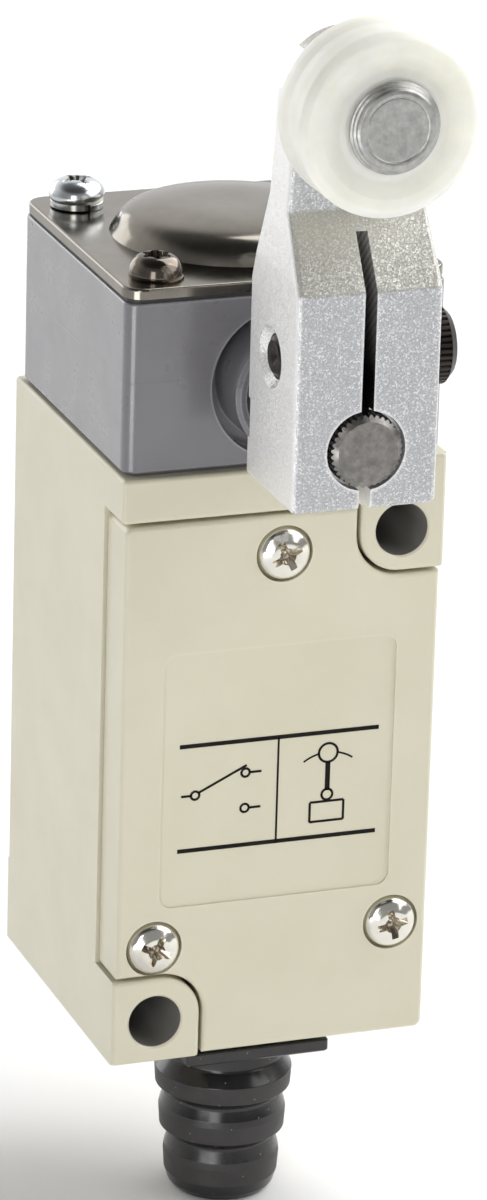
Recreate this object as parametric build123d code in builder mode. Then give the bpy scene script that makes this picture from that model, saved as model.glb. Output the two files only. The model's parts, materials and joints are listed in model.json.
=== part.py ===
"""Roller-lever limit switch, as an assembly of its separate pieces.

Millimetres. The origin is the centre of the back mounting face, +Z is up, the front faces -Y.
"""

import os
from math import cos, radians, sin, sqrt

from build123d import *

# ---------------------------------------------------------------- driving dimensions
case_width = 32.0
case_depth = 33.0
case_height = 59.0
wall = 2.2
lip_height = 4.3  # the solid band across the top of the case
rim_height = 2.2  # the strip of case under the lip that the cover closes against
hole_radius = 2.6
hole_side_inset = 4.3
low_hole_height = 4.2  # above the case bottom
hole_pitch_z = 47.6
low_boss_width, low_boss_height = 8.8, 8.6
high_boss_width, high_boss_height = 8.4, 11.3
boss_corner_radius = 4.0

cover_depth = 5.5
cover_wall = 1.8
cover_gap = 0.35  # the dark seam round the cover
cover_corner_radius, cover_edge_radius = 0.8, 0.45
gasket_thickness = 0.25
head_gasket_thickness = 0.35
cover_screw_places = [(0.0, 21.0), (-12.0, -17.7), (12.0, -17.7)]
label_width, label_height, label_middle_z = 23.2, 25.6, -0.9

head_side = 31.4
head_casting_height = 16.35
plate_gasket_thickness = 0.4
plate_thickness = 1.0
dome_radius, dome_height = 11.7, 3.0
head_screw_inset = 4.0
head_chamber_radius = 10.1
shaft_height = 8.1  # above the top of the case

shaft_radius = 3.5
shaft_end_radius = 3.4
seat_radius = 2.3  # the slimmer inner end of the shaft
front_bearing_radius = 6.2
front_bearing_reach = 3.6  # how far the bearing nose stands out of the head
cam_mid_lift = 3.9
cam_lift_rate = 0.6  # millimetres of plunger travel per radian of lever swing
cam_top_radius = 4.4
cam_width = 6.0
follower_reach = 4.9  # from the shaft axis up to the return plunger, clear of the cam at either end of the swing

lever_radius = 31.0
lever_half_width = 6.9
lever_arm_tip_radius = 6.1
lever_front, lever_back = -52.8, -40.3
lever_arm_front, lever_arm_back = -48.6, -43.4
lever_low_reach = 5.6  # the block below the shaft axis
lever_knee_reach = 14.8  # the front knee above the shaft axis
lever_slot_width = 1.1
lever_slot_reach = 19.6

roller_radius = 8.5
roller_width = 7.4
roller_front = -56.6
pin_radius = 2.0
pin_head_radius = 4.25

entry_x, entry_y = -0.9, -22.6  # the cable entry in the case bottom
cable_radius = 4.0
notch_half = 5.5  # half the width of the square notch that holds the grommet's neck
grommet_flange_thickness = 1.3

running_gap = 0.05
small_gap = 0.1
fit_gap = 0.02  # between pieces that are pressed or screwed together
over = 1.0  # how far a cut runs past the face that it starts from

# ---------------------------------------------------------------- derived places
half_width = case_width / 2
top = case_height / 2
bottom = -top
front = -case_depth
mid_y = front / 2
rim_y = front + cover_depth  # the plane where the case ends and the cover begins
lip_bottom = top - lip_height
chamber_top = lip_bottom - rim_height
hole_x = half_width - hole_side_inset
low_hole_z = bottom + low_hole_height
high_hole_z = low_hole_z + hole_pitch_z
low_boss_right = -half_width + low_boss_width
low_boss_top = bottom + low_boss_height
high_boss_left = half_width - high_boss_width
high_boss_bottom = top - high_boss_height

head_base = top + head_gasket_thickness
casting_top = head_base + head_casting_height
plate_base = casting_top + plate_gasket_thickness
plate_top = plate_base + plate_thickness
head_front = mid_y - head_side / 2
head_back = mid_y + head_side / 2
head_floor = head_base + 2.0
shaft_z = top + shaft_height
head_screw_reach = head_side / 2 - head_screw_inset
roller_z = shaft_z + lever_radius
nose_front = head_front - front_bearing_reach

FRONT_VIEW = Plane(origin=(0, 0, 0), x_dir=(1, 0, 0), z_dir=(0, -1, 0))  # local x is X, local y is Z


def front_plane(y, x=0.0, z=0.0):
    """A plane facing the front at depth y: its local x is X and its local y is Z."""
    return Plane(origin=(x, y, z), x_dir=(1, 0, 0), z_dir=(0, -1, 0))


def level_plane(z, x=0.0, y=0.0):
    """A level plane facing up."""
    return Plane(origin=(x, y, z))


def turned(place, outline, mode=Mode.ADD):
    """Turn an outline of (radius, height) points about the place's own Z."""
    with BuildSketch(Plane(place.origin, x_dir=place.x_dir, z_dir=-place.y_dir)) as profile:
        with BuildLine():
            Polyline(*outline, close=True)
        make_face()
    revolve(profile.sketch, axis=Axis(place.origin, place.z_dir), mode=mode)


def ring(place, outer, inner, height, mode=Mode.ADD):
    """A plain ring that rises from the place."""
    turned(place, [(inner, 0), (outer, 0), (outer, height), (inner, height)], mode)


def disc(place, radius, height, mode=Mode.ADD):
    """A solid round that rises from the place."""
    turned(place, [(0, 0), (radius, 0), (radius, height), (0, height)], mode)


def block(low, high, mode=Mode.ADD):
    """A box between two corners."""
    size = [b - a for a, b in zip(low, high)]
    middle = [(a + b) / 2 for a, b in zip(low, high)]
    with Locations(tuple(middle)):
        Box(*size, mode=mode)


def boss_corner_sketch(x_from, x_to, z_from, z_to, radius, side):
    """A boss outline with one large rounded corner: side +1 is upper right, -1 is lower left."""
    with BuildSketch(FRONT_VIEW) as outline:
        with Locations(((x_from + x_to) / 2, (z_from + z_to) / 2)):
            Rectangle(x_to - x_from, z_to - z_from)
        along_diagonal = outline.vertices().sort_by(Axis((0, 0, 0), (1, 1, 0)))
        fillet(along_diagonal[-1 if side > 0 else 0], radius)
    return outline.sketch


def cross_recess(place, radius, depth):
    """A Phillips cross with a sunk point, cut down from the place."""
    for turn in (0, 90):
        with BuildSketch(place.rotated((0, 0, turn))) as arm:
            RectangleRounded(2 * radius, 0.36 * radius, 0.1 * radius)
        extrude(arm.sketch, amount=-depth, mode=Mode.SUBTRACT)
    turned(place, [(0, 0.2), (0.5 * radius, 0.2), (0.42 * radius, -depth), (0, -1.25 * depth)], Mode.SUBTRACT)


def dome_screw(place, head_radius, head_height, shank_radius, length, washer=0.0):
    """A round-head screw: the place is under the head, with its Z out of the head."""
    crown = 0.62 * head_height
    turned(place, [
        (0, -length), (shank_radius - 0.25, -length), (shank_radius, -length + 0.4), (shank_radius, 0),
        (head_radius - washer, 0), (head_radius, 0.25 * head_height), (0.93 * head_radius, 0.55 * head_height),
        (0.72 * head_radius, crown + 0.22 * head_height), (0.42 * head_radius, 0.97 * head_height),
        (0, head_height),
    ])


# ---------------------------------------------------------------- case
low_boss = boss_corner_sketch(-half_width, low_boss_right, bottom, low_boss_top, boss_corner_radius, 1)
high_boss = boss_corner_sketch(high_boss_left, half_width, high_boss_bottom, top, boss_corner_radius, -1)
switch_screw_places = [(-11.4, 9.5), (11.4, 9.5)]
switch_back = -11.4
ground_place = (9.0, -21.5)
ground_boss_front = -7.0
guide_radius = 4.0
head_screw_depth = 3.2
switch_boss_radius, ground_boss_radius = 2.4, 3.2
cover_thread_radius, head_thread_radius, switch_thread_radius, ground_thread_radius = 1.3, 1.45, 1.05, 1.55
cover_thread_depth = 13.5  # behind the front of the cover
case_edge_radius = 0.4
hole_edge = 0.2  # the small countersink at the mouth of each mounting hole
lug_radius, lug_length = 3.0, 9.5  # the lugs that take the cover screws
guide_boss_side, guide_boss_drop = 14.0, 2.0

with BuildPart() as case:
    block((-half_width, rim_y, bottom), (half_width, 0, top))
    block((-half_width, front, lip_bottom), (half_width, rim_y, top))
    for boss in (low_boss, high_boss):
        extrude(boss, amount=case_depth)
    outer_edges = case.edges().filter_by(lambda edge: abs(edge.center().Y - rim_y) > small_gap)
    fillet(outer_edges, case_edge_radius)
    block((-half_width + wall, rim_y, bottom + wall), (half_width - wall, -wall, chamber_top), Mode.SUBTRACT)
    for boss in (low_boss, high_boss):
        extrude(boss, amount=case_depth - 0.5)
    for x, z in cover_screw_places:
        disc(front_plane(rim_y + lug_length, x, z), lug_radius, lug_length)
    for x, z in switch_screw_places:
        disc(front_plane(-wall, x, z), switch_boss_radius, -switch_back - wall)
    disc(front_plane(-wall, *ground_place), ground_boss_radius, -ground_boss_front - wall)
    with Locations((0, mid_y, chamber_top)):
        Box(guide_boss_side, guide_boss_side, 2 * guide_boss_drop)
    # openings and holes
    for x, z in ((-hole_x, low_hole_z), (hole_x, high_hole_z)):
        disc(front_plane(over, x, z), hole_radius, case_depth + 2 * over, Mode.SUBTRACT)
        turned(front_plane(front, x, z), [
            (0, over), (hole_radius + hole_edge, over), (hole_radius + hole_edge, 0), (hole_radius, -hole_edge),
            (0, -hole_edge),
        ], Mode.SUBTRACT)
    for x, z in cover_screw_places:
        disc(front_plane(front + cover_thread_depth, x, z), cover_thread_radius, cover_thread_depth, Mode.SUBTRACT)
    for x, z in switch_screw_places:
        disc(front_plane(-2 * wall, x, z), switch_thread_radius, -switch_back, Mode.SUBTRACT)
    disc(front_plane(-wall - 0.5, *ground_place), ground_thread_radius, -ground_boss_front, Mode.SUBTRACT)
    disc(level_plane(chamber_top - 3 * guide_boss_drop, 0, mid_y), guide_radius + fit_gap, case_height / 2,
         Mode.SUBTRACT)
    for sx in (-1, 1):
        for sy in (-1, 1):
            place = level_plane(top - head_screw_depth - 0.3, sx * head_screw_reach, mid_y + sy * head_screw_reach)
            disc(place, head_thread_radius, 2 * head_screw_depth, Mode.SUBTRACT)
    # the cable entry is a square notch open to the front, which the cover closes
    block((entry_x - notch_half, front - over, bottom - over),
          (entry_x + notch_half, entry_y + notch_half, bottom + wall + over), Mode.SUBTRACT)
case.part.label = "case"

# ---------------------------------------------------------------- cover, its gasket and screws
def cover_sketch(inset, seam):
    """The cover's outline from the front, drawn in from the case's outline."""
    low = boss_corner_sketch(-half_width - over, low_boss_right + seam, bottom - over, low_boss_top + seam,
                             boss_corner_radius + seam, 1)
    high = boss_corner_sketch(high_boss_left - seam, half_width + over, high_boss_bottom - seam, top + over,
                              boss_corner_radius + seam, -1)
    with BuildSketch(FRONT_VIEW) as outline:
        with Locations((0, (bottom + lip_bottom) / 2)):
            Rectangle(case_width - 2 * inset, lip_bottom - bottom - 2 * inset)
        fillet(outline.vertices(), cover_corner_radius)
        add(low, mode=Mode.SUBTRACT)
        add(high, mode=Mode.SUBTRACT)
    return outline.sketch


cover_outline = cover_sketch(cover_gap, cover_gap)
cover_back = rim_y - gasket_thickness
screw_pocket_depth = 0.7
cover_screw_head_radius, cover_screw_hole_radius = 2.7, 1.6
cover_post_radius = 3.4
label_depth, label_corner_radius = 0.2, 1.3
gasket_band, gasket_eye_radius = 1.3, 2.9

with BuildPart() as cover:
    extrude(cover_outline, amount=-front)
    block((-case_width, cover_back, -case_height), (case_width, over, case_height), Mode.SUBTRACT)
    fillet(cover.faces().sort_by(Axis.Y)[0].edges(), cover_edge_radius)
    with BuildSketch(FRONT_VIEW) as hollow:
        offset(cover_outline, amount=-cover_wall)
    extrude(hollow.sketch, amount=-front - cover_wall, mode=Mode.SUBTRACT)
    for x, z in cover_screw_places:
        disc(front_plane(cover_back, x, z), cover_post_radius, cover_back - front - 0.6)
    extrude(cover_outline, amount=-front, mode=Mode.INTERSECT)
    for x, z in cover_screw_places:
        disc(front_plane(0, x, z), cover_screw_hole_radius, 2 * case_depth, Mode.SUBTRACT)
        disc(front_plane(front + screw_pocket_depth, x, z), cover_screw_head_radius + small_gap, cover_depth,
             Mode.SUBTRACT)
    with BuildSketch(front_plane(front, 0, label_middle_z)):
        RectangleRounded(label_width, label_height, label_corner_radius)
    extrude(amount=-label_depth, mode=Mode.SUBTRACT)
cover.part.label = "cover"

with BuildPart() as cover_gasket:
    gasket_outline = cover_sketch(cover_gap + 0.35, cover_gap + 0.35)
    with BuildSketch(front_plane(rim_y)) as band:
        add(gasket_outline)
        with BuildSketch(mode=Mode.PRIVATE) as inner:
            offset(gasket_outline, amount=-gasket_band)
        add(inner.sketch, mode=Mode.SUBTRACT)
        for x, z in cover_screw_places:
            with Locations((x, z)):
                Circle(gasket_eye_radius)
        with BuildSketch(mode=Mode.PRIVATE) as limit:
            add(gasket_outline)
        add(limit.sketch, mode=Mode.INTERSECT)
        for x, z in cover_screw_places:
            with Locations((x, z)):
                Circle(cover_screw_hole_radius + small_gap, mode=Mode.SUBTRACT)
    extrude(band.sketch, amount=gasket_thickness)
cover_gasket.part.label = "cover_gasket"

with BuildPart() as cover_screws:
    for x, z in cover_screw_places:
        seat = front_plane(front + screw_pocket_depth, x, z)
        dome_screw(seat, cover_screw_head_radius, 1.7, 1.25, 9.0)
        cross_recess(seat.offset(1.75), 1.55, 1.1)
cover_screws.part.label = "cover_screws"

# ---------------------------------------------------------------- cable grommet
ring_radii = (6.75, 6.25, 5.7)
ring_tops = (5.7, 10.2, 14.9)
ring_height = 2.0
neck_radii = (5.7, 5.1)
grommet_length = 18.6
flange_half, inner_flange_half = 7.25, 6.2

with BuildPart() as cable_grommet:
    flange_low = bottom - grommet_flange_thickness
    block((entry_x - flange_half, front + 0.5, flange_low), (entry_x + flange_half, entry_y + 10, bottom - fit_gap))
    neck_half = notch_half - running_gap
    block((entry_x - neck_half, rim_y + small_gap, bottom - small_gap),
          (entry_x + neck_half, entry_y + neck_half, bottom + wall + small_gap))
    block((entry_x - inner_flange_half, rim_y + small_gap, bottom + wall + fit_gap),
          (entry_x + inner_flange_half, entry_y + 7, bottom + wall + 1.2))
    low_z = bottom - grommet_length
    outline = [(0, bottom - 0.5), (5.6, bottom - 0.5), (5.6, bottom - ring_tops[0] + 0.5)]
    for i, (radius, ring_top) in enumerate(zip(ring_radii, ring_tops)):
        outline += [(radius - 0.15, bottom - ring_top), (radius, bottom - ring_top - 0.35)]
        if i < len(neck_radii):
            outline += [(radius - 0.1, bottom - ring_top - ring_height),
                        (neck_radii[i] + 0.1, bottom - ring_top - ring_height - 0.55),
                        (neck_radii[i], bottom - ring_top - ring_height - 0.9),
                        (neck_radii[i] + 0.15, bottom - ring_top - ring_height - 1.3)]
    outline += [(5.55, low_z + 1.7), (5.15, low_z + 0.6), (4.6, low_z), (0, low_z)]
    turned(Plane((entry_x, entry_y, 0)), outline)
    disc(level_plane(low_z - over, entry_x, entry_y), cable_radius, 2 * grommet_length, Mode.SUBTRACT)
cable_grommet.part.label = "cable_grommet"

# ---------------------------------------------------------------- head
head_screw_places = [(sx * head_screw_reach, mid_y + sy * head_screw_reach) for sx in (-1, 1) for sy in (-1, 1)]
socket_screw_places = [p for p in head_screw_places if p[0] * (p[1] - mid_y) > 0]
pan_screw_places = [p for p in head_screw_places if p[0] * (p[1] - mid_y) < 0]
head_screw_radius = 1.4
head_corner_radius, head_edge_radius = 1.4, 0.2
recess_radius, recess_depth = 7.4, 2.5  # round the bearing nose
nose_seal_depth, seal_radius = 1.6, 5.2
bearing_radius = 4.7
bearing_inner_y = head_front + 6.8
rear_bearing_radius, rear_wall = 3.5, 1.2


def head_outline(place, side, corner_radius):
    """The head's square outline with its four screw holes."""
    with BuildSketch(place) as outline:
        RectangleRounded(side, side, corner_radius)
        with GridLocations(2 * head_screw_reach, 2 * head_screw_reach, 2, 2):
            Circle(head_screw_radius + 0.1, mode=Mode.SUBTRACT)
    return outline.sketch


with BuildPart() as head_gasket:
    extrude(head_outline(level_plane(top, 0, mid_y), head_side - 1.0, 1.0), amount=head_gasket_thickness)
    disc(level_plane(top - over, 0, mid_y), 5.6, 3 * over, Mode.SUBTRACT)
head_gasket.part.label = "head_gasket"

with BuildPart() as head_body:
    extrude(head_outline(level_plane(head_base, 0, mid_y), head_side, head_corner_radius),
            amount=head_casting_height)
    level_faces = head_body.faces().sort_by(Axis.Z)
    fillet(level_faces[0].outer_wire().edges() + level_faces[-1].outer_wire().edges(), head_edge_radius)
    disc(front_plane(head_front + recess_depth, 0, shaft_z), recess_radius, 2 * recess_depth, Mode.SUBTRACT)
    disc(front_plane(head_front + 2 * recess_depth, 0, shaft_z), front_bearing_radius,
         2 * recess_depth + front_bearing_reach)
    disc(level_plane(head_floor, 0, mid_y), head_chamber_radius, 2 * head_casting_height, Mode.SUBTRACT)
    disc(level_plane(head_base - over, 0, mid_y), 4.7, 4 * over, Mode.SUBTRACT)
    disc(front_plane(bearing_inner_y + over, 0, shaft_z), bearing_radius + fit_gap, head_side, Mode.SUBTRACT)
    disc(front_plane(nose_front + nose_seal_depth, 0, shaft_z), seal_radius + running_gap, 2 * nose_seal_depth,
         Mode.SUBTRACT)
    disc(front_plane(head_back - rear_wall, 0, shaft_z), rear_bearing_radius + fit_gap, 6, Mode.SUBTRACT)
    nose_rim = head_body.edges().filter_by(GeomType.CIRCLE).group_by(Axis.Y)[0].sort_by(SortBy.RADIUS)[-1]
    chamfer(nose_rim, 0.4)
head_body.part.label = "head_body"

with BuildPart() as plate_gasket:
    extrude(head_outline(level_plane(casting_top, 0, mid_y), head_side - 0.5, 1.2), amount=plate_gasket_thickness)
    disc(level_plane(casting_top - over, 0, mid_y), head_chamber_radius + 0.3, 3 * over, Mode.SUBTRACT)
plate_gasket.part.label = "plate_gasket"


def dome_profile(radius, height):
    """Half of the dome's section, closed along its axis."""
    with BuildSketch(Plane(origin=(0, mid_y, plate_top), x_dir=(1, 0, 0), z_dir=(0, -1, 0))) as half:
        with BuildLine():
            Spline((0, height), (0.7 * radius, 0.86 * height), (0.88 * radius, 0.62 * height), (radius, 0),
                   tangents=[(1, 0), (0.42, -0.91)])
            Polyline((radius, 0), (radius, -plate_thickness / 2), (0, -plate_thickness / 2), (0, height))
        make_face()
    return half.sketch


plate_axis = Axis((0, mid_y, 0), (0, 0, 1))
with BuildPart() as head_plate:
    extrude(head_outline(level_plane(plate_base, 0, mid_y), head_side, 2.0), amount=plate_thickness)
    fillet(head_plate.faces().sort_by(Axis.Z)[-1].outer_wire().edges(), 0.25)
    revolve(dome_profile(dome_radius, dome_height), axis=plate_axis)
    revolve(dome_profile(dome_radius - plate_thickness, dome_height - plate_thickness), axis=plate_axis,
            mode=Mode.SUBTRACT)
    disc(level_plane(plate_base - over, 0, mid_y), dome_radius - plate_thickness, over + plate_thickness,
         Mode.SUBTRACT)
head_plate.part.label = "head_plate"

screw_tip = plate_top - (top - head_screw_depth)
with BuildPart() as head_socket_screws:
    for x, y in socket_screw_places:
        seat = level_plane(plate_top, x, y)
        dome_screw(seat, 2.6, 2.1, head_screw_radius, screw_tip)
        with BuildSketch(seat.offset(2.2)) as socket:
            Circle(0.95)
            with PolarLocations(0.95, 6):
                Circle(0.3)
        extrude(socket.sketch, amount=-1.3, mode=Mode.SUBTRACT)
head_socket_screws.part.label = "head_socket_screws"

washer_thickness, washer_radius = 0.8, 2.55
with BuildPart() as spring_washers:
    for x, y in pan_screw_places:
        ring(level_plane(plate_top, x, y), washer_radius, head_screw_radius + small_gap, washer_thickness)
        # the slanted split
        with Locations((x, y - 2, plate_top + washer_thickness / 2)):
            Box(0.25, 1.6, 3, rotation=(0, 20, 0), mode=Mode.SUBTRACT)
spring_washers.part.label = "spring_washers"

with BuildPart() as head_pan_screws:
    for x, y in pan_screw_places:
        seat = level_plane(plate_top + washer_thickness, x, y)
        dome_screw(seat, 2.7, 2.0, head_screw_radius, screw_tip)
        cross_recess(seat.offset(2.05), 1.5, 1.2)
head_pan_screws.part.label = "head_pan_screws"

# ---------------------------------------------------------------- bearings and seals of the shaft
with BuildPart() as front_bearing:
    bearing_length = bearing_inner_y - nose_front - nose_seal_depth - 0.05
    ring(front_plane(bearing_inner_y, 0, shaft_z), bearing_radius, shaft_radius + running_gap, bearing_length)
front_bearing.part.label = "front_bearing"

with BuildPart() as shaft_seal:
    ring(front_plane(nose_front + nose_seal_depth, 0, shaft_z), seal_radius, shaft_radius + running_gap,
         nose_seal_depth - 0.2)
    # the groove in front of the sealing lip
    ring(front_plane(nose_front + 0.5, 0, shaft_z), 4.4, shaft_radius + running_gap, 1.0, Mode.SUBTRACT)
shaft_seal.part.label = "shaft_seal"

with BuildPart() as rear_bearing:
    ring(front_plane(head_back - rear_wall - running_gap, 0, shaft_z), rear_bearing_radius,
         seat_radius + running_gap, 4.0)
rear_bearing.part.label = "rear_bearing"

# ---------------------------------------------------------------- shaft and what turns with it
cam_front, cam_back = mid_y - cam_width / 2, mid_y + cam_width / 2
shaft_end = lever_front - 0.6
shaft_shoulder_y = cam_front - 0.6
seat_end_y = head_back - rear_wall - 0.15
seat_flat = seat_radius - 0.5
serration_count, serration_size = 36, 0.3
splined_back = lever_back + 0.8
groove_width = 0.62
clip_groove_y, clip_groove_radius = cam_back + 0.7, 1.7
ring_groove_y, ring_groove_radius = bearing_inner_y + 0.75, 3.0

with BuildPart() as shaft:
    end_reach = splined_back - shaft_end
    turned(front_plane(splined_back, 0, shaft_z), [
        (0, 0), (shaft_end_radius, 0), (shaft_end_radius, end_reach - 0.45), (2.85, end_reach), (0, end_reach),
    ])
    with BuildSketch(front_plane(lever_back, 0, shaft_z)) as teeth:
        with PolarLocations(shaft_end_radius, serration_count):
            Rectangle(serration_size, serration_size, rotation=45)
    extrude(teeth.sketch, amount=lever_back - shaft_end + over, mode=Mode.SUBTRACT)
    disc(front_plane(shaft_shoulder_y, 0, shaft_z), shaft_radius, shaft_shoulder_y - lever_back - 0.2)
    disc(front_plane(seat_end_y, 0, shaft_z), seat_radius, seat_end_y - shaft_shoulder_y)
    # the flat that the cam is keyed on, and the two clip grooves
    block((-shaft_radius, cam_front, shaft_z + seat_flat), (shaft_radius, clip_groove_y, shaft_z + shaft_radius),
          Mode.SUBTRACT)
    ring(front_plane(clip_groove_y, 0, shaft_z), shaft_radius, clip_groove_radius, groove_width, Mode.SUBTRACT)
    ring(front_plane(ring_groove_y, 0, shaft_z), shaft_radius + over, ring_groove_radius, groove_width + small_gap,
         Mode.SUBTRACT)
shaft.part.label = "shaft"


def cam_point(swing_deg):
    """A point of the lower cam edge: its flat follower sinks by cam_lift_rate per radian of swing."""
    swing = radians(swing_deg)
    lift = cam_mid_lift + cam_lift_rate * swing
    return (lift * sin(swing) + cam_lift_rate * cos(swing), -lift * cos(swing) + cam_lift_rate * sin(swing))


cam_flat_height = 3.7
cam_flat_half = sqrt(cam_top_radius**2 - cam_flat_height**2)
cam_end_swing, cam_step = 78, 12  # the lower edge's ends and the spacing of its points, in degrees of swing
left_shoulder, right_shoulder = (-3.3, 1.3), (4.3, 0.9)
with BuildPart() as cam:
    with BuildSketch(front_plane(cam_back, 0, shaft_z)):
        with BuildLine():
            Spline(*[cam_point(angle) for angle in range(-cam_end_swing, cam_end_swing + 1, cam_step)])
            flat_right, flat_left = (cam_flat_half, cam_flat_height), (-cam_flat_half, cam_flat_height)
            Line(cam_point(-cam_end_swing), left_shoulder)
            ThreePointArc(left_shoulder, (-cam_top_radius * sin(radians(52)), cam_top_radius * cos(radians(52))),
                          flat_left)
            Line(flat_left, flat_right)
            ThreePointArc(flat_right, (cam_top_radius * sin(radians(50)), cam_top_radius * cos(radians(50))),
                          right_shoulder)
            Line(right_shoulder, cam_point(cam_end_swing))
        make_face()
        Circle(seat_radius + fit_gap, mode=Mode.SUBTRACT)
        with Locations((0, seat_flat + fit_gap + 1)):
            Rectangle(4, 2)
    extrude(amount=cam_width)
cam.part.label = "cam"


def open_clip(y, outer, inner, thickness):
    """A retaining clip round the shaft: a ring with a gap at the bottom."""
    ring(front_plane(y, 0, shaft_z), outer, inner, thickness)
    block((-clip_gap_half, y - 2 * thickness, shaft_z - 2 * outer), (clip_gap_half, y + over, shaft_z), Mode.SUBTRACT)


clip_gap_half = 1.2
with BuildPart() as cam_clip:
    open_clip(clip_groove_y - 2 * fit_gap, 3.6, clip_groove_radius + 2 * fit_gap, groove_width - 4 * fit_gap)
cam_clip.part.label = "cam_clip"

with BuildPart() as shaft_ring:
    open_clip(ring_groove_y - running_gap, 4.7, ring_groove_radius + 2 * fit_gap, groove_width)
shaft_ring.part.label = "shaft_ring"

# ---------------------------------------------------------------- lever
clamp_screw_radius = 2.0
clamp_mouth_radius, clamp_mouth_depth = 2.85, 0.7  # the countersink where the screw's tip shows on the left
clamp_screw_y, clamp_screw_z = (lever_front + lever_back) / 2 + 0.5, shaft_z + 7.3
shaft_mouth_radius, shaft_mouth_depth = 3.75, 1.2  # the step at the front of the shaft's bore
block_low, knee_z = shaft_z - lever_low_reach, shaft_z + lever_knee_reach
slope_top_z = knee_z + 6.6
back_knee_z = shaft_z + 13.4
back_slope_height = 8.6
taper_start_z = knee_z + 1.0
taper_deg = 4.2
lever_edge_radius = 0.55
washer_boss_radius, washer_boss_height = 4.4, 0.5  # the raised ring behind the roller
nose_clearance_radius, nose_clearance_depth = 7.15, 0.9  # the counterbore that clears the bearing nose

with BuildPart() as lever_arm:
    with BuildSketch(Plane(origin=(lever_half_width, 0, 0), x_dir=(0, 1, 0), z_dir=(1, 0, 0))):
        with BuildLine():
            Polyline((lever_front, block_low), (lever_front, knee_z), (lever_arm_front, slope_top_z),
                     (lever_arm_front, roller_z + 10), (lever_arm_back, roller_z + 10),
                     (lever_arm_back, back_knee_z + back_slope_height), (lever_back, back_knee_z),
                     (lever_back, block_low), close=True)
        make_face()
    extrude(amount=-2 * lever_half_width)
    with BuildSketch(front_plane(lever_back + over)):
        with BuildLine():
            tilt = radians(taper_deg)
            tangent = (lever_arm_tip_radius * cos(tilt), roller_z + lever_arm_tip_radius * sin(tilt))
            Polyline((-tangent[0], tangent[1]), (-lever_half_width, taper_start_z), (-lever_half_width, block_low),
                     (lever_half_width, block_low), (lever_half_width, taper_start_z), tangent)
            ThreePointArc(tangent, (0, roller_z + lever_arm_tip_radius), (-tangent[0], tangent[1]))
        make_face()
    extrude(amount=20, mode=Mode.INTERSECT)
    fillet(lever_arm.edges(), lever_edge_radius)
    disc(front_plane(lever_arm_front, 0, roller_z), washer_boss_radius, washer_boss_height)
    disc(front_plane(lever_back + over, 0, shaft_z), shaft_end_radius + small_gap, 20, Mode.SUBTRACT)
    disc(front_plane(lever_back + over, 0, shaft_z), nose_clearance_radius, over + nose_clearance_depth,
         Mode.SUBTRACT)
    block((-lever_slot_width / 2, lever_front - over, block_low - over),
          (lever_slot_width / 2, lever_back + over, shaft_z + lever_slot_reach), Mode.SUBTRACT)
    side = Plane(origin=(-lever_half_width - over, clamp_screw_y, clamp_screw_z), x_dir=(0, 1, 0), z_dir=(1, 0, 0))
    disc(side, clamp_screw_radius + small_gap, 4 * lever_half_width, Mode.SUBTRACT)
    turned(side, [(0, 0), (clamp_mouth_radius, 0), (clamp_mouth_radius, over),
                  (clamp_screw_radius, over + clamp_mouth_depth), (0, over + clamp_mouth_depth)], Mode.SUBTRACT)
    disc(front_plane(lever_front + shaft_mouth_depth, 0, shaft_z), shaft_mouth_radius, 2 * shaft_mouth_depth,
         Mode.SUBTRACT)
    disc(front_plane(lever_arm_back + over, 0, roller_z), pin_radius + running_gap, 20, Mode.SUBTRACT)
lever_arm.part.label = "lever_arm"

clamp_head_radius, clamp_head_height = 3.7, 3.0
hex_across_radius, hex_depth = 1.5, 1.8
knurl_count, knurl_size, knurl_start = 40, 0.26, 0.35
with BuildPart() as clamp_screw:
    under_head = Plane(origin=(lever_half_width + running_gap, clamp_screw_y, clamp_screw_z), x_dir=(0, 1, 0),
                       z_dir=(1, 0, 0))
    tip = -2 * lever_half_width + 0.2
    turned(under_head, [
        (0, tip + 0.6), (0.9, tip + 0.1), (clamp_screw_radius - 0.5, tip), (clamp_screw_radius, tip + 0.5),
        (clamp_screw_radius, 0), (clamp_head_radius - 0.2, 0), (clamp_head_radius, 0.3),
        (clamp_head_radius, clamp_head_height - 0.7), (clamp_head_radius - 0.7, clamp_head_height),
        (0, clamp_head_height),
    ])
    with BuildSketch(under_head.offset(clamp_head_height)):
        RegularPolygon(hex_across_radius, 6, major_radius=False)
    extrude(amount=-hex_depth, mode=Mode.SUBTRACT)
    with BuildSketch(under_head.offset(knurl_start)) as knurl:
        with PolarLocations(clamp_head_radius, knurl_count):
            Rectangle(knurl_size, knurl_size, rotation=45)
    extrude(knurl.sketch, amount=clamp_head_height - knurl_start - 0.75, mode=Mode.SUBTRACT)
clamp_screw.part.label = "clamp_screw"

roller_back = roller_front + roller_width
pin_head_height = 1.0
pin_tail_radius, pin_tail_height = 3.2, 1.0  # the riveted end behind the arm
rivet_face_radius, rivet_flange_height = 3.55, 0.3
pin_seat_y = roller_front - small_gap
pin_shank = lever_arm_back - pin_seat_y + fit_gap
with BuildPart() as roller_pin:
    turned(front_plane(pin_seat_y, 0, roller_z), [
        (0, pin_head_height), (rivet_face_radius, pin_head_height), (pin_head_radius, rivet_flange_height),
        (pin_head_radius, 0), (pin_radius, 0), (pin_radius, -pin_shank), (pin_tail_radius, -pin_shank),
        (pin_tail_radius - 0.4, -pin_shank - pin_tail_height), (0, -pin_shank - pin_tail_height),
    ])
roller_pin.part.label = "roller_pin"

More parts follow.
